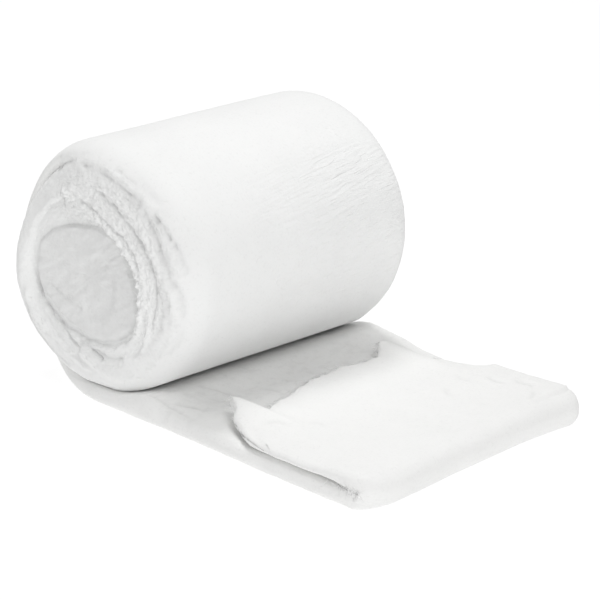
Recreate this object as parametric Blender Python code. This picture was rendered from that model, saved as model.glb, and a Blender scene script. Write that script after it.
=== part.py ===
"""A roll of gamgee: cotton wool in a gauze cover, wound up, with its outer end laid out and folded back.

The roll lies on its side along Y. Its outermost turn leaves the upper left of the roll, passes down and under
it, and lies on the surface towards +X, where the last stretch is folded back on top of itself.
Metres, +Z up, with the origin at the bottom centre of the whole object.

A place in the winding is a number of turns, counted inwards and clockwise as seen from the near end (-Y),
from straight under the roll's centre, and a share of the cloth's thickness, counted from its outer face.
"""

import math

import bmesh
import bpy

# The cloth
CLOTH_WIDTH = 0.300
PAD_THICKNESS = 0.0150
LAYER_GAP = 0.0004
PITCH = PAD_THICKNESS + LAYER_GAP

# The winding
OUTER_RADIUS = 0.1245
FLAT_DEPTH = 0.0012
CENTRE_HEIGHT = OUTER_RADIUS - FLAT_DEPTH
SEAM_TURNS = 0.417
SEAM_GAP = 0.0004
INNER_TURNS = 6.6
CORE_SHIFT = -0.014
CORE_SHIFT_FROM = 1.45
CORE_SHIFT_TO = 5.5

# The soft ends of the roll
NEAR_END = {"side": -1.0, "shoulder": 0.025, "column": 1}
FAR_END = {"side": 1.0, "shoulder": 0.028, "column": 2}
EDGE_GROOVE = 0.0050
COVER_FROM = -0.14
COVER_TO = 0.08

# The loose end, which swells where nothing presses on it
TAIL_REACH = 0.3375
TAIL_THICKNESS = 0.0172
SWELL_FROM = 0.030
SWELL_TO = 0.085
FLAP_LENGTH = 0.186
FLAP_THICKNESS = 0.0142
FOLD_GAP = 0.0014
FOLD_RADIUS = (TAIL_THICKNESS + FOLD_GAP + FLAP_THICKNESS) / 2
FOLD_X = TAIL_REACH - FOLD_RADIUS
OPEN_TO = 0.105
FLAP_FROM = 0.136
EDGE_ROUNDING = 0.0080
LEVEL_TURNS = 0.03
SHOULDER_TURNS = 0.22

# How finely the solids follow these shapes
STEPS_PER_TURN = 48
ROWS_ALONG_ROLL = 6
CELLS_ACROSS_TAIL = 14
TAIL_STEP = 0.018
FLAP_STEP = 0.0135
FOLD_STEPS = 8
EDGE_SHARES = (0.10, 0.36, 0.72)
TAIL_EDGE_SHARES = (0.10, 0.36, 0.72, 0.93)
CUT_ROUNDING_DEGREES = (35.0, 65.0)
SMOOTH_ANGLE = math.radians(50)

# Matt white cloth
WOUND_COLOUR = (0.86, 0.87, 0.87, 1.0)
LOOSE_COLOUR = (0.89, 0.90, 0.89, 1.0)
CLOTH_ROUGHNESS = 0.95

# How far the roll is out of round: (part of a turn, how far it stands out)
ROLL_OUTLINE = (
    (0.000, 0.0000),
    (0.040, -0.0006),
    (0.105, -0.0026),
    (0.150, -0.0010),
    (0.210, 0.0012),
    (0.300, 0.0004),
    (0.420, -0.0006),
    (0.540, -0.0014),
    (0.620, -0.0004),
    (0.700, 0.0018),
    (0.800, 0.0022),
    (0.900, 0.0018),
    (1.000, 0.0000),
)
ROUND_LAYER = 6.0

# How far the edge of each turn stands out of the roll's ends: (turn, near end, far end)
TURN_EDGES = (
    (0.0, 0.0000, 0.0000),
    (1.0, 0.0005, 0.0000),
    (1.1, 0.0065, 0.0000),
    (1.2, 0.0065, 0.0000),
    (1.3, 0.0010, 0.0000),
    (2.0, -0.0035, -0.0015),
    (3.0, 0.0035, 0.0020),
    (3.8, -0.0060, -0.0020),
    (4.6, -0.0010, 0.0010),
    (5.6, 0.0010, -0.0020),
    (6.9, -0.0030, -0.0040),
)

# The fold's outline from above: (distance across the cloth, how far its end is drawn back)
FOLD_OUTLINE = (
    (-0.150, 0.017),
    (-0.140, 0.007),
    (-0.120, 0.001),
    (-0.090, 0.002),
    (-0.030, 0.007),
    (0.020, 0.010),
    (0.080, 0.013),
    (0.120, 0.012),
    (0.138, 0.012),
    (0.150, 0.019),
)
FOLD_DRAW_LENGTH = 0.070

# The cut edge of the folded part: (distance across the cloth, how far it falls short, lifts, thins)
CUT_EDGE = (
    (-0.150, 0.062, 0.0005, 0.0015),
    (-0.130, 0.030, 0.0030, 0.0010),
    (-0.108, -0.006, 0.0060, 0.0015),
    (-0.080, 0.002, 0.0030, 0.0035),
    (-0.035, -0.003, 0.0015, 0.0040),
    (0.000, -0.005, 0.0010, 0.0040),
    (0.045, 0.001, 0.0015, 0.0045),
    (0.088, -0.012, 0.0030, 0.0040),
    (0.110, 0.008, 0.0010, 0.0055),
    (0.150, 0.034, 0.0000, 0.0065),
)
CUT_DRAW_LENGTH = 0.080

# How far the sides of the loose end stand out: (distance from the roll's centre, near side, far side)
SIDE_WAVES = (
    (0.000, 0.0010, 0.0020),
    (0.050, 0.0008, 0.0055),
    (0.100, -0.0008, 0.0070),
    (0.140, 0.0000, 0.0030),
    (0.180, 0.0006, -0.0020),
    (0.230, 0.0012, -0.0010),
    (0.270, 0.0010, -0.0010),
    (0.340, 0.0000, 0.0000),
)

# How far back the edges of the loose end lie where it is wound: (turns, near edge, far edge)
LOOSE_EDGES = (
    (0.000, 0.0000, 0.0000),
    (0.050, 0.0045, -0.0010),
    (0.100, 0.0100, -0.0030),
    (0.150, 0.0115, -0.0040),
    (0.220, 0.0085, -0.0040),
    (0.300, 0.0080, -0.0030),
    (0.360, 0.0045, -0.0010),
    (0.417, 0.0000, 0.0000),
)

# Soft swells on the upper faces of the loose end: (x from the roll's centre, y, height, reach)
SWELLS = (
    (0.095, 0.125, 0.0040, 0.045),
    (0.205, -0.095, 0.0012, 0.040),
    (0.235, 0.010, -0.0014, 0.045),
    (0.235, 0.140, -0.0012, 0.030),
    (0.310, 0.135, 0.0028, 0.032),
    (0.300, -0.060, 0.0010, 0.040),
)


def smoothstep(value, low, high):
    """0 below low, 1 above high, and a smooth rise between them."""
    share = min(max((value - low) / (high - low), 0.0), 1.0)
    return share * share * (3.0 - 2.0 * share)


def from_table(rows, place, column):
    """A column of a table, read at a place that its first column gives."""
    if place <= rows[0][0]:
        return rows[0][column]
    for below, above in zip(rows, rows[1:]):
        if place <= above[0]:
            share = (place - below[0]) / (above[0] - below[0])
            return below[column] + (above[column] - below[column]) * share
    return rows[-1][column]


def outward(turns):
    """The direction (x, z) out of the roll's centre at this place in the winding."""
    angle = 2.0 * math.pi * turns
    return -math.sin(angle), -math.cos(angle)


def roll_centre(layer):
    """The centre (x, z) of a layer: the inner ones lie lower and further left."""
    shift = CORE_SHIFT * smoothstep(layer, CORE_SHIFT_FROM, CORE_SHIFT_TO)
    return shift, CENTRE_HEIGHT + shift


def wound_point(turns, share):
    """The place (x, z) of a point of the winding, which its own weight flattens underneath."""
    layer = turns + share
    bottom = round(turns)
    out_of_round = from_table(ROLL_OUTLINE, turns % 1.0, 1) * (1.0 - layer / ROUND_LAYER)
    radius = OUTER_RADIUS - PITCH * layer + out_of_round
    slope = math.cos(2.0 * math.pi * (turns - bottom))
    if slope > 0.0:
        radius = min(radius, (CENTRE_HEIGHT - PITCH * (bottom + share)) / slope)
    centre_x, centre_z = roll_centre(layer)
    out_x, out_z = outward(turns)
    return centre_x + radius * out_x, centre_z + radius * out_z


def layers_outside(turns):
    """How many layers lie over this one: one more from each time the winding passes the tail below it."""
    bottom = math.floor(turns + 0.5)
    return max(bottom - 1 + smoothstep(turns - bottom, COVER_FROM, COVER_TO), 0.0)


def shoulder_inset(depth, end):
    """How far the roll's soft shoulder draws the cloth's edge in, at a depth below the outer face."""
    left = max(end["shoulder"] - depth, 0.0)
    return end["shoulder"] - math.sqrt(end["shoulder"] ** 2 - left**2)


def groove(share, covered):
    """How far a layer's domed edge drops at its inner face, and at its outer face where that is covered."""
    drop = EDGE_GROOVE * abs(2.0 * share - 1.0) ** 3
    return drop if share > 0.5 else drop * covered


def wound_inset(turns, share, end):
    """How far inside the cloth's full half width an edge point of the wound roll lies."""
    outside = layers_outside(turns)
    inset = shoulder_inset((outside + share) * PITCH, end) + groove(share, min(outside, 1.0))
    stand_out = from_table(TURN_EDGES, turns, end["column"])
    if share == 0.0 and turns >= 1.0:
        stand_out = min(stand_out, from_table(TURN_EDGES, turns - 1.0, end["column"]))
    return inset - stand_out


def object_from_shape(name, build, collection, material):
    """Makes one object from a function that fills an empty bmesh."""
    shape = bmesh.new()
    build(shape)
    bmesh.ops.recalc_face_normals(shape, faces=shape.faces)
    mesh = bpy.data.meshes.new(name)
    shape.to_mesh(mesh)
    shape.free()
    mesh.materials.append(material)
    mesh.shade_smooth()
    mesh.set_sharp_from_angle(angle=SMOOTH_ANGLE)
    made = bpy.data.objects.new(name, mesh)
    collection.objects.link(made)
    return made


def fill_grid(shape, rows):
    """A loft: faces between each pair of neighbouring rows of vertices."""
    for first, second in zip(rows, rows[1:]):
        for corners in zip(first, first[1:], second[1:], second):
            shape.faces.new(corners)


def end_face(shape, end):
    """One ridged end of the roll, as rows of vertices from a layer's outer face to the next layer's."""
    stations = round((INNER_TURNS - SEAM_TURNS) * STEPS_PER_TURN)

    def vertex(turns, share):
        x, z = wound_point(turns, share)
        reach = CLOTH_WIDTH / 2 - wound_inset(turns, share, end)
        return shape.verts.new((x, end["side"] * reach, z))

    rows = []
    for i in range(stations + 1):
        turns = SEAM_TURNS + i / STEPS_PER_TURN
        rows.append([vertex(turns, share) for share in (0.0, *EDGE_SHARES)])
    for i, row in enumerate(rows):
        one_turn_in = i + STEPS_PER_TURN
        if one_turn_in < len(rows):
            row.append(rows[one_turn_in][0])
        else:
            row.append(vertex(SEAM_TURNS + i / STEPS_PER_TURN, 1.0))
    fill_grid(shape, rows)
    close_core(shape, rows)
    return rows


def close_core(shape, rows):
    """A fan over the small hollow that the innermost turn leaves in an end face."""
    innermost = [row[-1] for row in rows[-STEPS_PER_TURN - 1 :]]
    rim = innermost + rows[-1][-2:0:-1]
    x, z = roll_centre(INNER_TURNS)
    tip = shape.verts.new((x, sum(vertex.co.y for vertex in innermost) / len(innermost), z))
    for first, second in zip(rim, rim[1:] + rim[:1]):
        shape.faces.new((first, second, tip))


def build_wound_roll(shape):
    """The wound form, with a spiral outline that has a step where the loose end leaves it."""
    near = end_face(shape, NEAR_END)
    far = end_face(shape, FAR_END)

    def row_along_roll(first, last):
        between = [first.co.lerp(last.co, i / ROWS_ALONG_ROLL) for i in range(1, ROWS_ALONG_ROLL)]
        return [first, *(shape.verts.new(place) for place in between), last]

    outer = [row_along_roll(near[i][0], far[i][0]) for i in range(STEPS_PER_TURN + 1)]
    fill_grid(shape, outer)
    step = [row_along_roll(*ends) for ends in list(zip(near[0], far[0]))[1:-1]]
    fill_grid(shape, [outer[0], *step, outer[-1]])


def tail_edge(share, turns, end):
    """The place across the cloth (y) of an edge point of the loose end."""
    level = EDGE_ROUNDING * (1.0 - math.sqrt(1.0 - (2.0 * share - 1.0) ** 2))
    on_roll = shoulder_inset(share * PITCH, end) + groove(share, 0.0)
    inset = level + (on_roll - level) * smoothstep(turns, LEVEL_TURNS, SHOULDER_TURNS)
    return end["side"] * (CLOTH_WIDTH / 2 - inset) + from_table(LOOSE_EDGES, turns, end["column"])


def section_points(turns):
    """(y, share) round the cloth's section: outer face, far edge, inner face, near edge."""

    def face(share):
        near = tail_edge(share, turns, NEAR_END)
        cell = (tail_edge(share, turns, FAR_END) - near) / CELLS_ACROSS_TAIL
        return [(near + cell * i, share) for i in range(CELLS_ACROSS_TAIL + 1)]

    far_edge = [(tail_edge(share, turns, FAR_END), share) for share in TAIL_EDGE_SHARES]
    near_edge = [(tail_edge(share, turns, NEAR_END), share) for share in TAIL_EDGE_SHARES[::-1]]
    return face(0.0) + far_edge + face(1.0)[::-1] + near_edge


def sections_on_roll():
    """(outer point, inner point, turns, distance along the flap) where the cloth lies round the roll."""
    first = SEAM_TURNS - SEAM_GAP / (2.0 * math.pi * OUTER_RADIUS)
    steps = round(SEAM_TURNS * STEPS_PER_TURN)
    sections = []
    for i in range(steps):
        turns = first * (1.0 - i / steps)
        inner = wound_point(turns, PAD_THICKNESS / PITCH)
        sections.append((wound_point(turns, 0.0), inner, turns, 0.0))
    return sections


def sections_on_surface():
    """The same where the cloth lies flat, and then turns up into the fold."""
    steps = round(FOLD_X / TAIL_STEP)
    sections = []
    for i in range(steps):
        x = FOLD_X * i / steps
        swell = (TAIL_THICKNESS - PAD_THICKNESS) * smoothstep(x, SWELL_FROM, SWELL_TO)
        sections.append(((x, 0.0), (x, PAD_THICKNESS + swell), 0.0, 0.0))
    for i in range(FOLD_STEPS):
        across, up = math.sin(math.pi * i / FOLD_STEPS), -math.cos(math.pi * i / FOLD_STEPS)
        outer = FOLD_X + FOLD_RADIUS * across, FOLD_RADIUS * (1.0 + up)
        inner = FOLD_X + FOLD_GAP / 2 * across, TAIL_THICKNESS + FOLD_GAP / 2 * (1.0 + up)
        sections.append((outer, inner, 0.0, 0.0))
    return sections


def sections_on_flap():
    """The same where the cloth is folded back, up to its rounded cut edge."""
    straight = FLAP_LENGTH - FOLD_RADIUS
    steps = round(straight / FLAP_STEP)
    lines = [(straight * i / steps, 0.0) for i in range(steps + 1)]
    half = FLAP_THICKNESS / 2
    for degrees in CUT_ROUNDING_DEGREES:
        angle = math.radians(degrees)
        lines.append((straight + half * math.sin(angle), half * (1.0 - math.cos(angle))))
    sections = []
    for along, thinner in lines:
        x = FOLD_X - along
        outer = x, 2.0 * FOLD_RADIUS - thinner
        inner = x, TAIL_THICKNESS + FOLD_GAP + thinner
        sections.append((outer, inner, 0.0, along))
    return sections


def draw_back(x, y):
    """How far the fold's rounded outline draws a point of the loose end back."""
    return from_table(FOLD_OUTLINE, y, 1) * smoothstep(x, FOLD_X - FOLD_DRAW_LENGTH, TAIL_REACH)


def side_wave(x, y):
    """How far a point of the loose end moves across with the waves of the side that it is nearest to."""
    column = 1 if y < 0.0 else 2
    weight = (y / (CLOTH_WIDTH / 2)) ** 3
    return from_table(SIDE_WAVES, x, column) * weight


def swell(x, y):
    """The height of the soft swells at this place."""
    total = 0.0
    for middle_x, middle_y, height, reach in SWELLS:
        away = ((x - middle_x) ** 2 + (y - middle_y) ** 2) / reach**2
        total += height * math.exp(-away)
    return total


def uncovered(x, share, along):
    """How much of a swell a point takes: all on an upper face in the open, none where another layer lies."""
    if along > 0.0:
        return 1.0 - share
    return share * smoothstep(x, SWELL_FROM, SWELL_TO) * (1.0 - smoothstep(x, OPEN_TO, FLAP_FROM))


def loose_place(section, y, share):
    """A point of the loose end, with its uneven outline and the soft swells worked in."""
    (outer_x, outer_z), (inner_x, inner_z), turns, along = section
    x = outer_x + (inner_x - outer_x) * share
    z = outer_z + (inner_z - outer_z) * share
    if turns > 0.0:
        return x, y, z
    near_cut = smoothstep(along, FLAP_LENGTH - FOLD_RADIUS - CUT_DRAW_LENGTH, FLAP_LENGTH - FOLD_RADIUS)
    x += from_table(CUT_EDGE, y, 1) * near_cut - draw_back(x, y)
    z += (from_table(CUT_EDGE, y, 2) - from_table(CUT_EDGE, y, 3) * (1.0 - share)) * near_cut
    z += swell(x, y) * uncovered(x, share, along)
    return x, y + side_wave(x, y), z


def close_ring(shape, ring):
    """Faces across the cloth's section, between its outer and its inner face."""
    row = CELLS_ACROSS_TAIL + 1
    edge = len(TAIL_EDGE_SHARES)
    outer = ring[:row]
    inner = ring[row + edge : 2 * row + edge]
    for corners in zip(outer, outer[1:], inner[-2::-1], inner[::-1]):
        shape.faces.new(corners)
    shape.faces.new(ring[row - 1 : row + edge + 1])
    shape.faces.new(ring[2 * row + edge - 1 :])


def build_loose_end(shape):
    """The cloth's outer end: round the left of the roll, along the surface and folded back over itself."""
    rings = []
    for section in sections_on_roll() + sections_on_surface() + sections_on_flap():
        ring = [shape.verts.new(loose_place(section, y, share)) for y, share in section_points(section[2])]
        rings.append([*ring, ring[0]])
    fill_grid(shape, rings)
    close_ring(shape, rings[0])
    close_ring(shape, rings[-1])


def cloth_material(name, colour):
    """A matt cloth of one colour."""
    material = bpy.data.materials.new(name)
    material.use_nodes = True
    surface = material.node_tree.nodes["Principled BSDF"]
    surface.inputs["Base Color"].default_value = colour
    surface.inputs["Roughness"].default_value = CLOTH_ROUGHNESS
    return material


def centre_on_origin(pieces):
    """Moves the pieces together so that the origin lies in the middle of the whole, seen from above."""
    for axis in (0, 1):
        places = [vertex.co[axis] for piece in pieces for vertex in piece.data.vertices]
        for piece in pieces:
            piece.location[axis] = -(min(places) + max(places)) / 2


def main():
    for leftover in list(bpy.data.objects):
        bpy.data.objects.remove(leftover)
    collection = bpy.data.collections.new("gamgee_roll")
    bpy.context.scene.collection.children.link(collection)
    wound_cloth = cloth_material("wound_cloth", WOUND_COLOUR)
    loose_cloth = cloth_material("loose_cloth", LOOSE_COLOUR)
    pieces = [
        object_from_shape("wound_roll", build_wound_roll, collection, wound_cloth),
        object_from_shape("loose_end", build_loose_end, collection, loose_cloth),
    ]
    centre_on_origin(pieces)


main()
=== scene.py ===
"""Looks of a roll of gamgee: cotton wool in a gauze cover, wound up, its outer end laid out and folded back.

Lengths are metres, +Z up, and the roll lies along Y with its near end at -Y. Places on the roll are given from
the roll's own centre line. Drawn lines are texts of pairs, in millimetres from it.

A place in the winding is a number of turns, counted inwards and clockwise as seen from the near end, from
straight under the roll's centre, and a share of the cloth's thickness, counted from its outer face.
"""

import math

import bpy
import numpy as np
from mathutils import Matrix, Vector


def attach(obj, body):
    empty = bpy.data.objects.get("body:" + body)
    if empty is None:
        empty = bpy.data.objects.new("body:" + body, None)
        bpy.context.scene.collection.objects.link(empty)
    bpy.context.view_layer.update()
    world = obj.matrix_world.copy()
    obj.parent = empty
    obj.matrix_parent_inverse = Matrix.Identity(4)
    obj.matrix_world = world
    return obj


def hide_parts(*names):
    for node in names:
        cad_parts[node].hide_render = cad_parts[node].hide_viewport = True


MM = 0.001
FULL_TURN = 2.0 * math.pi

# The part, as its solids have it
ROLL_X = -0.107262
ROLL_Y = -0.00012
HALF_WIDTH = 0.150
PAD_THICKNESS = 0.0150
PITCH = 0.0154
OUTER_RADIUS = 0.1245
CENTRE_HEIGHT = 0.1233
ROUND_LAYER = 6.0
SEAM_TURNS = 0.417
COVER_FROM = -0.14
COVER_TO = 0.08
EDGE_GROOVE = 0.0050
TAIL_REACH = 0.3375
TAIL_THICKNESS = 0.0172
SWELL_FROM = 0.030
SWELL_TO = 0.085
FLAP_LENGTH = 0.186
FLAP_THICKNESS = 0.0142
FOLD_GAP = 0.0014
FOLD_RADIUS = (TAIL_THICKNESS + FOLD_GAP + FLAP_THICKNESS) / 2
FOLD_X = TAIL_REACH - FOLD_RADIUS
FLAP_STRAIGHT = FLAP_LENGTH - FOLD_RADIUS
OPEN_TO = 0.105
FLAP_FROM = 0.136
EDGE_ROUNDING = 0.0080
LEVEL_TURNS = 0.03
SHOULDER_TURNS = 0.22
FOLD_DRAW_LENGTH = 0.070
CUT_DRAW_LENGTH = 0.080

# What the looks add to it, from the roll's centre line; a pair is where a smooth change begins and ends
CONTACT_SWELL, CONTACT_X, CONTACT_REACH = 0.0070, 0.060, 0.024
FLAP_EDGE_DROP = 0.0050
FLAP_EDGE_ACROSS = (HALF_WIDTH - 0.034, HALF_WIDTH - 0.001)
FLAP_EDGE_ALONG = (0.255, 0.300)
CLOSED_SHARE, CLOSED_FROM, CLOSED_TO = 0.8, 0.280, 0.318
GAP_ACROSS = (0.118, 0.146)
TEAR_REACH = 0.140
CUT_FACE = (HALF_WIDTH - 0.012, HALF_WIDTH - 0.004)
PUSH_TURNS = (0.02, 0.10)
CROWN_RISE, CROWN_Y, CROWN_REACH = 0.0013, 0.055, 0.065
CROWN_PARTS = (0.40, 0.48, 0.58, 0.66)
CREPE_PARTS = (0.585, 0.625, 0.76, 0.84)
CREPE_ACROSS = (-0.075, -0.005)
CREPE_LEAN = 0.16
FAINT_CREPE = 0.14
FLAT_CREPE = 0.15
# The matting's rise, the painted shade in its hollows, and the span over which that shade comes in
MATTED_RISE, MATTED_PAINTED_SHADE, MATTED_SPAN = 0.00055, 0.30, (0.10, 0.70)
# Painted shadow: how much painted shade the tail's upper face gets beside the roll, where the roll's shadow falls,
# fading towards its sides
TAIL_PAINTED_SHADOW = 0.80
SHOULDER_HOLLOW = (0.004, 0.016, 0.022, 0.050)

# Depths below the roll's outer face over which its end takes up the edges' relief and look, and the side's waves end
NEAR_RELIEF_DEPTHS = (0.003, 0.020)
FAR_RELIEF_DEPTHS = (0.004, 0.020)
RIM_DEPTHS = (0.009, 0.020)
SIDE_DEPTHS = (0.0, 0.020)
EDGE_DEPTHS = (0.010, 0.016)
EDGE_FADE = (0.020, 0.050)

# Where the two pieces of the cloth pass into each other: the roll dips under the loose end, which thins out
DIP_FROM = 0.392
DIP_TO = 0.410
THIN_FROM = 0.408
THIN_TO = 0.436
SINK_FROM = THIN_FROM - 0.008
THINNEST = 0.06
LIFT = 0.00005
SINK = 0.00035
CREVICE_SHUT_FROM = 0.385
CREVICE_SHUT_TO = 0.420

# How fine the meshes are
ROLL_STEPS = 480
TORN_DENSITY, TORN_PARTS = 0.6, (0.40, 0.50, 0.92, 1.0)
SHOULDER_ANGLE = 80.0
FULL_ROWS_TO = 0.3
SIDE_ROWS = 56
TAIL_CELLS = 156
ROUND_LINES = 85
TAIL_LINES_AT = ((0.0, 0.050, 10), (0.050, 0.175, 52), (0.175, FOLD_X, 34))
FOLD_LINES = 20
FLAP_ROWS = 88
FLAP_END_ANGLES = (15.0, 30.0, 45.0, 60.0, 72.0, 82.0)
LINE_CUTS = 4
EDGE_SHARES = (0.03, 0.12, 0.26, 0.42, 0.60, 0.78, 0.91, 0.975)

# How far the roll is out of round: (part of a turn, how far it stands out)
ROLL_OUTLINE = (
    (0.0, 0.0), (0.04, -0.0006), (0.105, -0.0026), (0.15, -0.001), (0.21, 0.0012), (0.3, 0.0004), (0.42, -0.0006),
    (0.54, -0.0014), (0.62, -0.0004), (0.7, 0.0018), (0.8, 0.0022), (0.9, 0.0018), (1.0, 0.0),
)

# The shoulders of the roll's ends: (part of a turn, radius, how much deeper the end is hollowed inside it)
NEAR_SHOULDER = (
    (0.0, 0.025, 0.0), (0.22, 0.025, 0.0), (0.28, 0.026, 0.002), (0.31, 0.028, 0.004), (0.36, 0.031, 0.007),
    (0.4, 0.033, 0.007), (0.44, 0.034, 0.003), (0.5, 0.034, 0.0), (0.58, 0.034, 0.0), (0.68, 0.036, 0.0),
    (0.82, 0.036, 0.0), (0.9, 0.032, 0.0), (1.0, 0.025, 0.0),
)
FAR_SHOULDER = (
    (0.0, 0.028, 0.0), (1.0, 0.028, 0.0),
)
NEAR = {"side": -1.0, "column": 1, "shoulder": NEAR_SHOULDER, "shoulder_rows": 20, "ring_rows": 58, "disc_rows": 26}
FAR = {"side": 1.0, "column": 2, "shoulder": FAR_SHOULDER, "shoulder_rows": 9, "ring_rows": 24, "disc_rows": 12}

# How far the wound turns stand out beside the loose end, at the near end: (part of a turn, how far)
NEAR_RIM = (
    (0.0, 0.0), (0.03, 0.001), (0.1, 0.006), (0.2, 0.006), (0.3, 0.001), (0.42, 0.0),
)

# How far back the edges of the loose end lie where it is wound: (turns, near edge, far edge)
LOOSE_EDGES = (
    (0.0, 0.0, 0.0), (0.05, 0.0045, -0.001), (0.1, 0.01, -0.003), (0.15, 0.0115, -0.004), (0.22, 0.0085, -0.004),
    (0.3, 0.008, -0.003), (0.36, 0.0045, -0.001), (0.417, 0.0, 0.0),
)

# The fold's outline from above: (distance across the cloth, how far its end is drawn back)
FOLD_OUTLINE = (
    (-0.15, 0.017), (-0.14, 0.007), (-0.12, 0.001), (-0.09, 0.002), (-0.03, 0.007), (0.02, 0.01), (0.08, 0.013),
    (0.12, 0.012), (0.138, 0.012), (0.15, 0.019),
)

# The cut edge of the folded part: (distance across the cloth, how far it falls short, lifts, thins)
CUT_EDGE = (
    (-0.15, 0.072, 0.0, 0.001), (-0.1485, 0.056, 0.0005, 0.0012), (-0.145, 0.042, 0.0012, 0.0015),
    (-0.139, 0.03, 0.0022, 0.0015), (-0.131, 0.016, 0.0035, 0.0012), (-0.12, 0.003, 0.0055, 0.001),
    (-0.108, -0.009, 0.0068, 0.0015), (-0.1, 0.008, 0.003, 0.003), (-0.072, 0.008, 0.0012, 0.0035),
    (-0.052, 0.003, 0.001, 0.004), (-0.032, -0.004, 0.0018, 0.0038), (-0.002, -0.008, 0.001, 0.004),
    (0.032, -0.014, 0.0012, 0.004), (0.062, -0.01, 0.001, 0.0048), (0.085, -0.015, 0.0018, 0.0046),
    (0.101, -0.024, 0.004, 0.0038), (0.107, -0.012, 0.003, 0.0045), (0.113, 0.012, 0.001, 0.0052),
    (0.125, 0.026, 0.0, 0.006), (0.138, 0.056, 0.0, 0.0062), (0.15, 0.074, 0.0, 0.006),
)

# How far the sides of the loose end stand out: (distance from the roll's centre, near side, far side)
SIDE_WAVES = (
    (0.0, 0.001, 0.002), (0.05, 0.0008, 0.0055), (0.1, -0.0008, 0.007), (0.14, 0.0, 0.003), (0.18, 0.0006, -0.002),
    (0.23, 0.0012, -0.001), (0.27, 0.001, -0.001), (0.34, 0.0, 0.0),
)

# Soft swells on the upper faces of the loose end: (x from the roll's centre, y, height, reach)
SWELLS = (
    (0.095, 0.125, 0.004, 0.045), (0.205, -0.095, 0.0012, 0.04), (0.235, 0.01, -0.0014, 0.045),
    (0.235, 0.14, -0.0012, 0.03), (0.31, 0.135, 0.0028, 0.032), (0.3, -0.06, 0.001, 0.04),
)

# How wide the gap between the folded layers stands open along the near side: (x from the roll's centre, width)
GAP_WIDTHS = (
    (0.17, -0.0004), (0.2, 0.0), (0.225, -0.0006), (0.245, -0.0001), (0.265, 0.0001), (0.285, 0.0006),
    (0.298, 0.0003), (0.31, -0.0008), (0.326, -0.001),
)

# The near end's relief in millimetres; a pair is where a smooth change begins and ends. From outside inwards there
# are the ragged ring, the crest at its inner edge, a moat, and the core's plain disc with a hollow in it.
EDGE_TEAR, CREASE_TEAR = 1.1, 1.4
RING_TEAR, CORE_TEAR = (1.5, 3), (0.5, 31)
EDGE_ENDS, CREASE_ENDS = (0.0, 0.08, 0.92, 1.0), (0.0, 0.25, 0.75, 1.0)
# How far the drawn lines stand out, and how deep a sunk line is where the painted shade along it is full
LINE_RELIEF, FULL_SHADE_DEPTH = 1.30, 2.0
RAGGED_SIDE = (0.12, (-0.2, 0.4))
RING_HEIGHT, RAGGED_RISE, RING_RISE, RING_SLOPE = -1.6, 2.0, 1.2, (-26.0, -4.0)
CREST_FROM, CREST_PLACE, CREST_WIDTH, CREST_RISE, RAGGED_CREST = -6.0, 2.8, 3.0, 0.8, 3.4
MOAT_HEIGHT, MOAT_RISE, MOAT_SLOPE, MOAT_WALL = -4.8, 1.4, (2.0, 14.0), (-2.2, 0.8)
DISC_HEIGHT, DISC_SAG, DISC_SLOPE, DISC_WALL = -1.7, 1.5, (6.0, 40.0), (-1.0, 0.6)
DISC_EDGE_DROP, DISC_EDGE, DISC_LINES = 2.4, (0.0, 3.0), 0.7
HOLLOW_DEPTH, HOLLOW_SLOPE = 1.5, (-1.0, 5.0)
# A painted shade line round the core's disc: its width, the span of noise over which it comes in full, and where
# round the end it is strongest
CORE_SHADE_LINE_WIDTH, CORE_SHADE_LINE_SPAN, CORE_SHADE_LINE_SIDE = 1.3, (-0.4, 0.2), (0.40, (-0.3, 0.3))
RING_SPAN = (-1.0, 1.0)
STREAK_CENTRE, STREAK_RISE, RAGGED_STREAKS = (-9.0, -12.0), 0.26, 0.80
# Painted shade in the low places of the streaks on the ragged side, and the span over which it comes in
STREAK_PAINTED_SHADE, STREAK_SPAN = 0.30, (0.25, 0.9)
STREAKS = ((1.0, 90.0, 2.1, 401), (0.7, 260.0, 1.1, 433))  # (how strong, how many round the end, width, seed)
BRUSH_LEAN = 0.6

# The far end's relief in metres: its core lies this far towards -X and -Z, and the turns shift towards it
FAR_CENTRE, FAR_SHIFT_DEPTHS, FAR_GROOVE = 0.014, (0.008, 0.070), 0.85
FAR_CORE_RADIUS, FAR_CORE_SPAN, FAR_CORE_DEPTH = 0.030, (0.0, 0.010), 0.0035
FAR_STREAKS = ((0.0009, 60.0, 6.0, 641), (0.0005, 190.0, 12.0, 647))  # (how strong, how many round, in a turn, seed)

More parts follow.
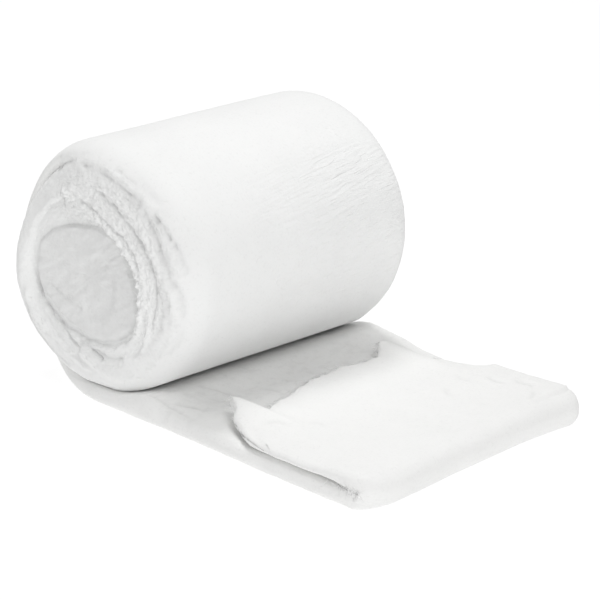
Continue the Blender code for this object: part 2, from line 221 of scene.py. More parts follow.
# Uneven surfaces, each a sum of noises: (how strong, size one way, size the other way, seed, octaves). The near
# end's are in millimetres, all others in metres.
UNEVEN = {
    "torn_across": ((1.0, 9.0, 9.0, 0, 3), (0.45, 2.6, 2.6, 5, 3)),
    "torn_up": ((1.0, 9.0, 9.0, 11, 3), (0.45, 2.6, 2.6, 17, 3)),
    "crest": ((0.7, 4.5, 4.5, 71, 3),),
    "core_shade_line": ((1.0, 12.0, 12.0, 83, 3),),
    "end": ((0.60, 14.0, 14.0, 451, 3), (0.45, 4.0, 4.0, 457, 3)),
    "brushed": ((1.0, 16.0, 4.5, 463, 3),),
    "disc": ((0.5, 9.0, 9.0, 467, 3),),
    "far_wobble": ((0.0011, 0.013, 0.013, 611, 3), (0.0005, 0.004, 0.004, 617, 3)),
    "side": ((0.00050, 0.085, 0.110, 501, 2), (0.00018, 0.018, 0.024, 511, 2)),
    "crepe_patches": ((1.0, 0.060, 0.090, 521, 2),),
    "crepe_bend": ((0.006, 0.030, 0.045, 531, 2),),
    "crepe": ((0.00060, 0.0105, 0.060, 541, 2),),
    "tear": ((0.0026, 0.011, 1.0, 701, 3), (0.0012, 0.0035, 1.0, 709, 3)),
    "flap": ((0.00045, 0.026, 0.026, 811, 3), (0.00030, 0.007, 0.011, 821, 3)),
    "tail": ((0.0007, 0.020, 0.020, 831, 3),),
    "matted": ((1.0, 0.0045, 0.0085, 841, 3),),
    "sides": ((0.0008, 0.012, 0.008, 851, 3),),
    "gap": ((0.9, 0.009, 1.0, 861, 3),),
}
HASH_ACROSS, HASH_UP, HASH_SEED, HASH_SCALE = 127.1, 311.7, 74.7, 43758.5453
FRACTAL_RANGE = 1.6

# The near end, in millimetres "x,z" from the roll's centre: the outline of the core's plain disc, the inner edge
# of the ragged ring round it, and the shallow hollow in the disc
CORE_OUTLINE = (
    "-77,8 -71,15 -62,23 -53,28 -44,32 -32,36 -19,38 -9,40 2,41 12,39 23,35 32,27 39,17 45,6 49,-5 51,-15 52,-26 "
    "49,-38 40,-48 30,-55 18,-60 4,-63 -14,-62 -32,-58 -50,-50 -65,-40 -76,-28 -80,-16 -80,-4"
)
RING_EDGE = (
    "-88,0 -82,24 -68,44 -50,57 -34,62 -20,57 -6,53 6,48 16,43 25,38 34,31 43,24 51,16 56,7 58,-4 58,-16 56,-28 "
    "52,-40 44,-51 33,-59 19,-65 4,-68 -14,-68 -34,-65 -54,-57 -72,-44 -84,-28 -89,-14"
)
HOLLOW_OUTLINE = (
    "-22,6 -11,13 0,17 12,14 20,6 24,-6 24,-20 18,-34 8,-44 -4,-46 -14,-40 -20,-28 -24,-12"
)

# Lines of the turns' edges in the near end, in millimetres: (height, half width, how broken it is, points "x,z")
NEAR_LINES = (
    (-2.0, 1.9, 0.55, "-34,96 -22,94 -13,93 -4,93 4,93 13,92 21,89 32,85 43,81 53,76 62,68 70,58 77,46 83,33 "
     "88,18"),
    (1.8, 2.4, 0.3, "2,98 13,96 30,91 43,87 55,81 64,75 71,70 80,60 87,51"),
    (-1.3, 1.2, 0.75, "14,101 21,99 30,95 40,92 51,88 61,84 68,79"),
    (-1.1, 1.1, 0.75, "29,103 42,98 55,91 63,85 72,77"),
    (-4.2, 1.5, 0.1, "66,72 73,66 79,60 85,53 92,45 97,38 101,30 103,22"),
    (2.0, 2.6, 0.25, "50,76 60,72 68,66 75,59 81,51 87,43 92,35 96,26"),
    (-0.9, 1.1, 0.8, "104,25 109,16 110,6 108,-3 109,-12 107,-22 103,-32 97,-42 92,-48"),
    (-0.6, 1.0, 0.85, "113,20 115,8 114,-4 113,-16 108,-30 101,-43"),
    (2.0, 3.0, 0.45, "-49,58 -34,68 -25,68 -16,66 -8,62 0,59 10,56 20,52 31,46 40,41 48,35 55,28 60,20 64,10 "
     "65,-2 64,-14 61,-26"),
    (-2.2, 1.5, 0.5, "-10,78 5,75 13,71 22,68 31,62 39,57 48,50 57,43 63,36 70,27 75,17 77,5 77,-8 75,-22 70,-36"),
    (-2.0, 1.3, 0.55, "-21,65 -6,61 8,55 25,48 38,41 46,35 54,27 60,16"),
    (1.5, 2.2, 0.45, "-2,83 10,80 22,76 34,70 45,63 55,55 64,46 72,36 79,25 84,13"),
    (-1.4, 1.6, 0.45, "30,81 43,75 53,69 64,61 74,51 81,40 87,29 92,18 95,6"),
    (2.4, 2.6, 0.3, "84,24 90,12 94,0 96,-12 96,-24 93,-36 87,-48 79,-60 70,-71 60,-80"),
    (-1.8, 1.6, 0.45, "90,20 100,8 102,-6 102,-20 99,-33 93,-45 84,-57"),
    (2.0, 2.4, 0.35, "66,-4 70,-14 71,-26 69,-38 66,-48 60,-60 52,-68"),
    (-1.8, 1.8, 0.4, "74,10 83,0 85,-12 83,-24 78,-36 71,-48 63,-59 54,-68"),
    (-1.2, 1.3, 0.4, "-61,-26 -51,-30 -37,-35 -25,-38 -17,-40"),
    (1.4, 2.2, 0.3, "-66,-22 -55,-24 -43,-29 -28,-35 -14,-36"),
    (1.6, 2.0, 0.2, "-54,-71 -45,-76 -36,-82 -24,-84"),
    (1.2, 2.4, 0.3, "-75,-51 -69,-62 -57,-70"),
    (-2.6, 1.8, 0.2, "-4,-73 5,-76 12,-80"),
    (-2.4, 1.9, 0.35, "-83,-12 -78,-34 -70,-45 -60,-53 -50,-59 -39,-65 -29,-72 -18,-77"),
    (2.2, 3.0, 0.3, "-86,-28 -80,-48 -71,-60 -58,-70 -44,-78 -30,-85 -17,-90 0,-95"),
    (-1.8, 1.6, 0.35, "-86,-45 -78,-62 -67,-74 -54,-84 -40,-92 -27,-97"),
    (3.0, 6.0, 0.15, "-18,-76 -10,-80 1,-84 14,-89 27,-91 42,-91 56,-86"),
    (-1.6, 3.0, 0.4, "-22,-69 -8,-71 8,-73 24,-74 40,-68"),
    (-2.6, 1.1, 0.15, "-66,76 -58,82 -50,88 -41,92 -34,94"),
    (0.7, 1.6, 0.2, "-11,12 -2,17 6,17 14,13 20,7 25,-1"),
    (0.7, 1.6, 0.35, "-21,-12 -18,-26 -11,-36 -4,-43"),
    (0.7, 2.0, 0.5, "-50,-3 -38,-20 -28,-30 -18,-36"),
    (-0.6, 2.0, 0.6, "-56,12 -44,-2 -36,-14"),
)

# How far the edge of each turn stands out of the far end: (turn, how far)
FAR_EDGES = (
    (0.0, 0.0), (1.0, 0.0), (2.0, -0.0015), (3.0, 0.002), (3.8, -0.002), (4.6, 0.001), (5.6, -0.002), (7.5, -0.004),
)

# Creases of the loose end, in millimetres: (height, half width, points "x from the roll's centre,y")
FLAP_LINES = (
    (-1.0, 2.6, "262,128 272,122 281,124 288,118"),
    (0.8, 3.0, "268,134 279,131 290,130"),
    (-0.9, 2.4, "240,112 252,108 262,110"),
    (0.6, 2.6, "244,104 256,101 266,103"),
    (-0.8, 2.6, "292,112 300,104 302,95"),
    (-0.5, 2.4, "222,92 232,88 240,90"),
    (-0.5, 2.6, "236,60 243,52 252,50"),
    (-0.7, 2.4, "190,-128 198,-118 208,-114"),
    (-0.4, 2.6, "212,-96 222,-90 230,-92"),
    (-0.35, 9.0, "270,-86 284,-60 298,-30 306,0"),
    (-0.4, 12.0, "196,20 222,30 250,24 276,30"),
    (0.5, 12.0, "178,-40 200,-62 228,-76"),
)
TAIL_LINES = (
    (-1.0, 2.2, "84,-132 96,-120 110,-118"),
    (0.9, 2.6, "60,-128 78,-112 92,-108 112,-104"),
    (-1.2, 2.2, "92,-96 104,-88 118,-90 128,-84"),
    (-1.0, 2.6, "70,-90 84,-76 102,-72"),
    (1.0, 2.6, "100,-64 114,-58 128,-60"),
    (-1.0, 2.4, "104,-40 118,-34 132,-38"),
    (0.9, 2.8, "96,-20 110,-8 126,-10"),
    (-0.9, 2.6, "100,20 116,26 130,22"),
    (-0.8, 2.6, "104,60 118,66 134,60"),
    (-0.7, 2.4, "30,-141 60,-138 96,-136 120,-139"),
)

# Small marks on the roll's side: (part of a turn, distance along the roll, length in millimetres, lean in degrees)
SIDE_LINT = (
    (0.6138, -0.1342, 4.5, 20), (0.6439, -0.1277, 3.5, 80), (0.67, -0.124, 2.5, 10), (0.7098, -0.0761, 3.0, 60),
    (0.7124, -0.0325, 3.0, 30), (0.6835, 0.1152, 3.5, 70), (0.7196, -0.0611, 6.0, 100), (0.7286, -0.0531, 5.0, 60),
    (0.7395, -0.0434, 6.5, 120), (0.7533, -0.0366, 5.0, 85), (0.764, -0.0292, 4.0, 40), (0.5751, 0.0863, 5.0, 0),
    (0.5787, 0.0917, 5.0, 35), (0.5886, 0.0902, 4.0, 75), (0.63, 0.01, 2.5, 50), (0.78, 0.06, 3.0, 15),
    (0.53, -0.05, 3.0, 65), (0.47, 0.07, 3.5, 25), (0.36, -0.03, 3.0, 95), (0.24, 0.05, 4.0, 45),
)

# Loose fibres: how many, how thick and long, and where they start
CUT_FIBRES, CUT_FIBRE_LENGTHS, BARE_CELLS = 320, (0.0030, 0.0095), 6
FOLD_FIBRES, FUZZ_LENGTHS, FUZZ_HEIGHTS = 70, (0.003, 0.0080), (0.0160, 0.0200)
FUZZ_TO, FUZZ_SPREAD = 0.321, 0.012
END_FIBRES, END_FIBRE_LENGTHS, END_FIBRE_SPREAD, END_FIBRE_SINK = 220, (0.0025, 0.0070), 0.0016, 0.0003
FIBRE_RADIUS, END_FIBRE_RADIUS, LINT_RADIUS = 0.00040, 0.00027, 0.00042
FIBRE_SIDE, FIBRE_TAPER = (0.31, 0.17, 0.94), 0.35
LINT_POINTS, LINT_CURL = 9, 0.28

# Colours and light
WOUND_COLOUR = (0.945, 0.948, 0.942, 1.0)
# Painted light: the loose cloth is made a little lighter than the same cloth wound on the roll, so that the flap
# comes out brighter
LOOSE_COLOUR = (0.955, 0.955, 0.945, 1.0)
THREAD_COLOUR = (0.95, 0.95, 0.945, 1.0)
FLOOR_COLOUR = (0.25, 0.25, 0.25, 1.0)
FLOOR_GLOW = 3.3
FLOOR_SIZE = 40.0
FLOOR_DROP = 0.0002
SKY_STRENGTH = 0.405
THREAD_SPACING, THREAD_BEND = 0.0011, 2.6
CREPE_STRETCH, LAYER_STRETCH = (1.0, 7.0, 1.0), (0.16, 1.0, 1.0)
# Painted shade: how much darker the cloth is painted where its painted shade value is full, in creases, grooves,
# gaps, over the core's disc and in the roll's shadow on the tail
PAINTED_SHADE_DARKENING = 0.20
# The values kept on each vertex for the material: the painted shade and the crepe
KEPT_VALUES = ("painted_shade", "crepe")
CLOTH_SURFACE = {"Roughness": 0.92, "Specular IOR Level": 0.15, "Sheen Weight": 0.12, "Sheen Roughness": 0.6}
THREAD_SURFACE = {"Roughness": 0.85, "Specular IOR Level": 0.15, "Sheen Weight": 0.10}
FLOOR_SURFACE = {
    "Base Color": FLOOR_COLOUR, "Roughness": 1.0, "Specular IOR Level": 0.0, "Emission Color": FLOOR_COLOUR,
    "Emission Strength": FLOOR_GLOW,
}

# Square lights: (name, azimuth and elevation in degrees, size in metres, power in watts), from the open side, from
# behind over the roll, and low from the front
LIGHTS = (
    ("side_light", 64.0, 52.0, 0.8, 16.5),
    ("back_light", -120.0, 68.0, 0.7, 20.5),
    ("low_light", 40.0, 16.0, 1.6, 3.8),
)
LIGHT_DISTANCE, LIGHT_AIM_HEIGHT = 2.4, 0.1

# The camera, fitted to the photograph's view: degrees, and metres from the foot of the roll's near middle
CAMERA_AZIMUTH = 42.666
CAMERA_ELEVATION = 19.799
CAMERA_ROLL = 2.743
CAMERA_DISTANCE = 2.6684
CAMERA_ACROSS = 0.08351
CAMERA_UP = 0.05937
CAMERA_AIM_X = -0.108
FOCAL_LENGTH = 171.59
SENSOR_WIDTH = 36.0


# Small tools


def smoothstep(value, low, high):
    """0 below low, 1 above high, and a smooth rise between them."""
    share = np.clip((np.asarray(value, float) - low) / (high - low), 0.0, 1.0)
    return share * share * (3.0 - 2.0 * share)


def hump(value, rise_from, rise_to, fall_from, fall_to):
    """1 in the middle and 0 outside, with a smooth rise and a smooth fall."""
    return smoothstep(value, rise_from, rise_to) * (1.0 - smoothstep(value, fall_from, fall_to))


def bell(away, half_width):
    """1 at no distance, falling off evenly on both sides."""
    return np.exp(-((away / half_width) ** 2))


def mix(first, second, share):
    """Between two values: the first where the share is 0, the second where it is 1."""
    return first + (second - first) * share


def facing(turn, part, span):
    """How far a place round the roll is on the side opposite to this part of a turn."""
    return smoothstep(-np.cos(FULL_TURN * (turn - part)), *span)


def points_of(text):
    """The points that a text of pairs such as "-34,96 -22,94" gives."""
    return np.array([pair.split(",") for pair in text.split()], float)


def read(rows, place, column=1):
    """A column of a table, read as a smooth curve at places that its first column gives."""
    places = np.array([row[0] for row in rows])
    values = np.array([row[column] for row in rows])
    slopes = np.gradient(values, places)
    place = np.clip(np.asarray(place, float), places[0], places[-1])
    low = np.clip(np.searchsorted(places, place) - 1, 0, len(places) - 2)
    span = places[low + 1] - places[low]
    share = (place - places[low]) / span
    rise = share * share * (3.0 - 2.0 * share)
    start = share * (1.0 - share) ** 2 * span * slopes[low]
    stop = share * share * (share - 1.0) * span * slopes[low + 1]
    return values[low] * (1.0 - rise) + values[low + 1] * rise + start + stop


def lattice(across, up, seed):
    """A fixed number from -1 to 1 for each point of a lattice."""
    mixed = np.sin(across * HASH_ACROSS + up * HASH_UP + seed * HASH_SEED) * HASH_SCALE
    return 2.0 * (mixed - np.floor(mixed)) - 1.0


def value_noise(across, up, seed):
    """Smooth noise from -1 to 1, with features about one unit wide."""
    left, low = np.floor(across), np.floor(up)
    right_share = smoothstep(across - left, 0.0, 1.0)
    up_share = smoothstep(up - low, 0.0, 1.0)
    below = lattice(left, low, seed) * (1.0 - right_share) + lattice(left + 1, low, seed) * right_share
    above = lattice(left, low + 1, seed) * (1.0 - right_share) + lattice(left + 1, low + 1, seed) * right_share
    return below * (1.0 - up_share) + above * up_share


def fractal(across, up, seed, octaves=3):
    """Noise with finer and finer detail, from about -1 to 1."""
    total = np.zeros(np.broadcast(across, up).shape)
    for octave in range(octaves):
        scale = 2.0**octave
        total += value_noise(across * scale, up * scale, seed + octave) / scale
    return total / FRACTAL_RANGE


def uneven(name, across, up, seed=0):
    """The sum of one named row of noises in UNEVEN."""
    return sum(
        strength * fractal(across / width, up / height, own_seed + seed, octaves)
        for strength, width, height, own_seed, octaves in UNEVEN[name]
    )


def smooth_line(points, closed=False, cuts=6):
    """Points close together on a smooth line through these points."""
    points = np.array(points, float)
    if closed:
        padded = np.vstack([points[-1], points, points[:2]])
    else:
        padded = np.vstack([2 * points[0] - points[1], points, 2 * points[-1] - points[-2]])
    made = []
    for before, start, stop, after in zip(padded, padded[1:], padded[2:], padded[3:]):
        for share in np.arange(cuts) / cuts:
            made.append(
                0.5 * (2 * start + (stop - before) * share)
                + 0.5 * (2 * before - 5 * start + 4 * stop - after) * share**2
                + 0.5 * (3 * start - before - 3 * stop + after) * share**3
            )
    made.append(points[0] if closed else points[-1])
    return np.array(made)


def distance_to(x, z, line):
    """How far each place lies from the line, and the share of the line's points passed there."""
    best = np.full(x.shape, np.inf)
    passed = np.zeros(x.shape)
    count = len(line) - 1
    for i, (start, stop) in enumerate(zip(line, line[1:])):
        run = stop - start
        share = np.clip(((x - start[0]) * run[0] + (z - start[1]) * run[1]) / (run @ run), 0.0, 1.0)
        away = np.hypot(x - start[0] - run[0] * share, z - start[1] - run[1] * share)
        nearer = away < best
        best = np.where(nearer, away, best)
        passed = np.where(nearer, (i + share) / count, passed)
    return best, passed


def near_line(x, z, line, reach):
    """Which places lie in the box that holds a line and this much round it."""
    low, high = line.min(axis=0) - reach, line.max(axis=0) + reach
    return (x > low[0]) & (x < high[0]) & (z > low[1]) & (z < high[1])


def signed_distance(x, z, line):
    """The distance from a closed line, below zero inside it."""
    away, _ = distance_to(x, z, line)
    inside = np.zeros(x.shape, bool)
    for start, stop in zip(line, line[1:]):
        if start[1] == stop[1]:
            continue
        crosses = (start[1] > z) != (stop[1] > z)
        at = start[0] + (z - start[1]) / (stop[1] - start[1]) * (stop[0] - start[0])
        inside ^= crosses & (x < at)
    return np.where(inside, -away, away)


# The winding


def round_radius(turns, share=0.0):
    """The distance of a point of the winding from the roll's centre."""
    turns = np.asarray(turns, float)
    layer = turns + share
    bottom = np.round(turns)
    out_of_round = read(ROLL_OUTLINE, turns % 1.0) * (1.0 - layer / ROUND_LAYER)
    radius = OUTER_RADIUS - PITCH * layer + out_of_round
    slope = np.maximum(np.cos(FULL_TURN * (turns - bottom)), 0.05)
    return np.minimum(radius, (CENTRE_HEIGHT - PITCH * (bottom + share)) / slope)


def outward(turns):
    """The direction (x, z) out of the roll's centre at this place in the winding."""
    angle = FULL_TURN * np.asarray(turns, float)
    return -np.sin(angle), -np.cos(angle)


def part_of_turn(x, z):
    """Where in a turn a place on the end of the roll lies."""
    return (np.arctan2(-x, -z) / FULL_TURN) % 1.0


def cover(part):
    """How much of one layer of loose cloth lies over the wound roll here."""
    over_left = smoothstep(part, COVER_FROM, COVER_TO) * (part < SEAM_TURNS)
    return over_left + smoothstep(part - 1.0, COVER_FROM, COVER_TO) * (part >= SEAM_TURNS)


def full_radius(part):
    """The wound roll's radius, one layer in on the side where the loose end covers it."""
    return round_radius(np.where(part < SEAM_TURNS, part + 1.0, part))


def wound_radius(part):
    """The same, where the roll comes up to the surface at the seam."""
    dip = smoothstep(part, DIP_FROM, DIP_TO) * (part < SEAM_TURNS)
    return full_radius(part) * (1.0 - dip) + round_radius(part) * dip


def crevice(part):
    """How open the gap between the loose end and the roll is."""
    return np.minimum(cover(part), 1.0) * (1.0 - smoothstep(part, CREVICE_SHUT_FROM, CREVICE_SHUT_TO) * (part < 0.5))


def shoulder_inset(depth, part, end):
    """How far the roll's soft shoulder draws the cloth's edge in, at a depth below the outer face."""
    radius = read(end["shoulder"], part, 1)
    left = np.maximum(radius - np.maximum(depth, 0.0), 0.0)
    return radius - np.sqrt(radius**2 - left**2) + read(end["shoulder"], part, 2) * hump(depth, *SHOULDER_HOLLOW)


def shoulder_run(depth, part, end):
    """How far the cloth's place across runs round the shoulder, down to this depth."""
    radius = read(end["shoulder"], part, 1)
    turned = radius * np.arccos(np.clip(1.0 - np.maximum(depth, 0.0) / radius, 0.0, 1.0))
    return HALF_WIDTH - radius + turned + np.maximum(depth - radius, 0.0)


# The relief of the roll's ends


def torn(x, z, amount, seed):
    """Places in millimetres moved about a little, so that lines drawn there come out ragged."""
    return x + amount * uneven("torn_across", x, z, seed), z + amount * uneven("torn_up", x, z, seed)


def edge_lines(x, z):
    """The height of the turns' edges drawn on the near end, in millimetres, and the painted shade along the lines
    that sink in.
    """
    height, painted_shade = np.zeros(x.shape), np.zeros(x.shape)
    for i, (rise, half_width, broken, text) in enumerate(NEAR_LINES):
        points = points_of(text)
        line = smooth_line(points, cuts=LINE_CUTS)
        close = near_line(x, z, line, 4.0 * half_width + 3.0)
        away, passed = distance_to(*torn(x[close], z[close], EDGE_TEAR, 200 + 7 * i), line)
        along = passed * np.sum(np.hypot(*np.diff(points, axis=0).T))
        shape = bell(away, half_width) if rise > 0 else np.exp(-away / half_width)
        kept = 1.0 - broken * (0.5 + 0.9 * fractal(along / 7.0, away / 9.0, 300 + 3 * i))
        shown = shape * hump(passed, *EDGE_ENDS) * np.clip(kept, 0.0, 1.3)
        height[close] += rise * shown
        # A sunk line is also painted darker: painted shade along its crease
        if rise < 0:
            painted_shade[close] += shown * min(-rise / FULL_SHADE_DEPTH, 1.0)
    return height, painted_shade


def near_relief(x, z, depth):
    """How far the near end stands out at places in metres, and how much painted shade they get."""
    x, z = x / MM, z / MM
    ring, core, hollow = (
        signed_distance(*torn(x, z, *tear), smooth_line(points_of(text), closed=True, cuts=LINE_CUTS))
        for tear, text in ((RING_TEAR, RING_EDGE), (CORE_TEAR, CORE_OUTLINE), (CORE_TEAR, HOLLOW_OUTLINE))
    )
    turn = part_of_turn(x, z)
    ragged = facing(turn, *RAGGED_SIDE)

    height = RING_HEIGHT + RAGGED_RISE * ragged + RING_RISE * smoothstep(-ring, *RING_SLOPE)
    crest = bell(ring - CREST_PLACE, CREST_WIDTH) * (CREST_RISE + RAGGED_CREST * ragged) * (ring > CREST_FROM)
    height += crest * (0.70 + uneven("crest", x, z))
    height = mix(MOAT_HEIGHT + MOAT_RISE * smoothstep(core, *MOAT_SLOPE), height, smoothstep(ring, *MOAT_WALL))
    lines, painted_shade = edge_lines(x, z)
    height += LINE_RELIEF * lines
    disc = DISC_HEIGHT - DISC_SAG * smoothstep(-core, *DISC_SLOPE)
    disc = disc - DISC_EDGE_DROP * (1.0 - smoothstep(-core, *DISC_EDGE)) ** 2
    disc += DISC_LINES * lines - HOLLOW_DEPTH * smoothstep(-hollow, *HOLLOW_SLOPE)
    height = mix(height, disc, smoothstep(-core, *DISC_WALL))
    # A painted dark line along the core's outline, standing in for the shadow of a gap there; broken by noise and
    # strongest on one side
    shade_line_kept = smoothstep(uneven("core_shade_line", x, z), *CORE_SHADE_LINE_SPAN)
    painted_shade += bell(core, CORE_SHADE_LINE_WIDTH) * (0.35 + 0.65 * shade_line_kept * facing(turn, *CORE_SHADE_LINE_SIDE))

    on_ring = smoothstep(core, *RING_SPAN)
    radius = np.hypot(x - STREAK_CENTRE[0], z - STREAK_CENTRE[1])
    streaks = sum(strength * fractal(turn * count, radius / width, seed) for strength, count, width, seed in STREAKS)
    height += on_ring * streaks * (STREAK_RISE + RAGGED_STREAKS * ragged)
    # Painted shade in the streaks' low places on the ragged side
    painted_shade += on_ring * ragged * STREAK_PAINTED_SHADE * smoothstep(-streaks, *STREAK_SPAN)
    height += uneven("end", x, z)
    brushed = uneven("brushed", x + BRUSH_LEAN * z, z - BRUSH_LEAN * x)
    height += (1.0 - on_ring) * (0.55 * brushed + uneven("disc", x, z))
    # Painted shade over the core's whole disc, which lies sunk below the ring, uneven with the brushed noise
    painted_shade += (1.0 - on_ring) * (0.42 + 0.25 * brushed)
    inner = smoothstep(depth, *NEAR_RELIEF_DEPTHS)
    return height * MM * inner, np.clip(painted_shade, 0.0, 1.0) * inner


def far_relief(x, z, depth):
    """The same for the far end, which shows the same cloth's turns from the other side."""
    turn = part_of_turn(x, z)
    shift = FAR_CENTRE * smoothstep(depth, *FAR_SHIFT_DEPTHS)
    layer = (OUTER_RADIUS - np.hypot(x + shift, z + shift) + uneven("far_wobble", x, z)) / PITCH
    share = (layer - part_of_turn(x + shift, z + shift)) % 1.0
    turns = np.maximum(layer - share, 0.0)
    valley = np.abs(2.0 * share - 1.0) ** 5
    broken = 0.75 + 0.5 * fractal(turn * 9.0, layer * 1.3, 631)
    height = read(FAR_EDGES, turns) - EDGE_GROOVE * FAR_GROOVE * valley * broken
    height += sum(strength * fractal(turn * count, layer * rows, seed) for strength, count, rows, seed in FAR_STREAKS)
    core = smoothstep(FAR_CORE_RADIUS - np.hypot(x + FAR_CENTRE, z + FAR_CENTRE), *FAR_CORE_SPAN)
    inner = smoothstep(depth, *FAR_RELIEF_DEPTHS)
    # The second value is painted shade in the grooves between the turns, left off the core
    return (height * (1.0 - core) - FAR_CORE_DEPTH * core) * inner, valley * broken * (1.0 - core) * inner


def end_surface(x, z, end):
    """How far from the middle of the cloth the end of the wound roll lies, and its painted shade."""
    part = part_of_turn(x, z)
    own_depth = np.maximum(wound_radius(part) - np.hypot(x, z), 0.0)
    depth = np.maximum(full_radius(part) + cover(part) * PITCH - np.hypot(x, z), 0.0)
    rim = EDGE_GROOVE * np.clip(1.0 - 2.0 * own_depth / PITCH, 0.0, 1.0) ** 3 * crevice(part)
    if end is NEAR:
        rim = rim - read(NEAR_RIM, part) * (part < SEAM_TURNS) * (1.0 - smoothstep(own_depth, *RIM_DEPTHS))
        relief, painted_shade = near_relief(x, z, depth)
    else:
        relief, painted_shade = far_relief(x, z, depth)
    return HALF_WIDTH - shoulder_inset(depth, part, end) - rim + relief, painted_shade


def side_unevenness(part, y):
    """How far the roll's side stands out, with broad soft waves, and how strongly it is creped."""
    around = part * FULL_TURN * OUTER_RADIUS
    crown = CROWN_RISE * bell(y - CROWN_Y, CROWN_REACH) * hump(part, *CROWN_PARTS)
    patch = smoothstep(uneven("crepe_patches", around, y) + 0.20, -0.1, 0.6)
    shown = hump(part, *CREPE_PARTS) * smoothstep(y, *CREPE_ACROSS)
    waves = uneven("crepe", around + uneven("crepe_bend", around, y) + CREPE_LEAN * y, y)
    strength = patch * FAINT_CREPE + (0.60 + 0.40 * patch) * shown
    return uneven("side", around, y) + crown + waves * strength, strength


def add_object(name, data):
    """A new object in the scene."""
    made = bpy.data.objects.new(name, data)
    bpy.context.scene.collection.objects.link(made)
    return made


# Meshes


def make_mesh(name, vertices, faces, material, cloth, painted_shade, crepe):
    """One smooth mesh object that keeps each vertex's place on the flat cloth, its painted shade and its crepe."""
    mesh = bpy.data.meshes.new(name)
    mesh.from_pydata(vertices.tolist(), [], faces)
    mesh.shade_smooth()
    kept = mesh.attributes.new("cloth", "FLOAT_VECTOR", "POINT")
    kept.data.foreach_set("vector", np.asarray(cloth, np.float32).ravel())
    for attribute, values in (("painted_shade", painted_shade), ("crepe", crepe)):
        kept = mesh.attributes.new(attribute, "FLOAT", "POINT")
        kept.data.foreach_set("value", np.asarray(values, np.float32).ravel())
    mesh.materials.append(material)
    return add_object(name, mesh)


def in_frame(x, y, z):
    """Places given from the roll's centre line, as vertices of the part."""
    return np.stack([x + ROLL_X, y + ROLL_Y, z + CENTRE_HEIGHT], axis=-1)


def turn_parts():
    """Places round the roll, in parts of a turn, closer together on the side where its end is torn."""
    fine = np.linspace(0.0, 1.0, 4001)
    density = 1.0 + TORN_DENSITY * hump(fine, *TORN_PARTS)
    passed = np.concatenate([[0.0], np.cumsum((density[1:] + density[:-1]) / 2.0)])
    return np.interp(np.arange(ROLL_STEPS) / ROLL_STEPS, passed / passed[-1], fine)


def end_rows(end):
    """Rows of places (x, z) over one end of the roll, from its outline to its middle."""
    part = turn_parts()
    out_x, out_z = outward(part)
    radius = wound_radius(part)
    core = smooth_line(points_of(CORE_OUTLINE), closed=True, cuts=20)[:-1] * MM
    middle = core.mean(axis=0)
    at = part_of_turn(*(core - middle).T)
    order = np.argsort(at)
    size = np.interp(part, at[order], np.hypot(*(core - middle).T)[order], period=1.0)
    core_x, core_z = middle[0] + size * out_x, middle[1] + size * out_z
    rows = []
    shoulder = read(end["shoulder"], part, 1)
    for angle in np.radians(np.linspace(0.0, SHOULDER_ANGLE, end["shoulder_rows"])):
        inner = radius - shoulder * (1.0 - math.cos(angle))
        rows.append((inner * out_x, inner * out_z))
    last_x, last_z = rows[-1]
    for i in range(1, end["ring_rows"] + 1):
        share = i / end["ring_rows"]
        rows.append((mix(last_x, core_x, share), mix(last_z, core_z, share)))
    for i in range(1, end["disc_rows"]):
        share = i / end["disc_rows"]
        step = 1 if share < FULL_ROWS_TO else 2
        rows.append((mix(core_x, middle[0], share)[::step], mix(core_z, middle[1], share)[::step]))
    rows.append((middle[:1], middle[1:]))
    return rows


def ring_faces(first, second, count, next_count, flip):
    """Faces between two closed rows of vertices, where the second may have half as many, or one."""
    faces = []
    if next_count == 1:
        faces = [(first + i, first + (i + 1) % count, second) for i in range(count)]
    elif count == next_count:
        for i in range(count):
            j = (i + 1) % count
            faces.append((first + i, first + j, second + j, second + i))
    else:
        for i in range(next_count):
            j = (i + 1) % next_count
            a, b, c = first + 2 * i, first + 2 * i + 1, first + (2 * i + 2) % count
            faces += [(a, b, second + i), (b, c, second + j), (b, second + j, second + i)]
    return [face[::-1] for face in faces] if flip else faces


def cloth_around(part):
    """How far along the cloth a place on the wound roll lies from the seam, by the shorter way round."""
    past = (part - SEAM_TURNS) % 1.0
    return -np.minimum(past, 1.0 - past) * FULL_TURN * CENTRE_HEIGHT


def wound_end(end, first):
    """One end of the roll: its vertices, places on the cloth, painted shade, crepe, faces and outline."""
    rows = end_rows(end)
    counts = [len(x) for x, _ in rows]
    starts = first + np.concatenate([[0], np.cumsum(counts)[:-1]])
    x, z = (np.concatenate(column) for column in zip(*rows))
    part = part_of_turn(x, z)
    reach, painted_shade = end_surface(x, z, end)
    own_depth = wound_radius(part) - np.hypot(x, z)
    depth = full_radius(part) + cover(part) * PITCH - np.hypot(x, z)
    push, fine = side_unevenness(part, end["side"] * reach)
    on_side = 1.0 - smoothstep(own_depth, *SIDE_DEPTHS)
    out_x, out_z = outward(part)
    vertices = in_frame(x + push * on_side * out_x, end["side"] * reach, z + push * on_side * out_z)
    edge = smoothstep(depth, *EDGE_DEPTHS) * smoothstep(np.hypot(x, z), *EDGE_FADE)
    cloth = np.stack([cloth_around(part), end["side"] * shoulder_run(depth, part, end), edge], axis=-1)
    faces = []
    for start, stop, count, next_count in zip(starts, starts[1:], counts, counts[1:]):
        faces += ring_faces(int(start), int(stop), count, next_count, end is FAR)
    return vertices, cloth, painted_shade, fine * on_side, faces, reach[:ROLL_STEPS]


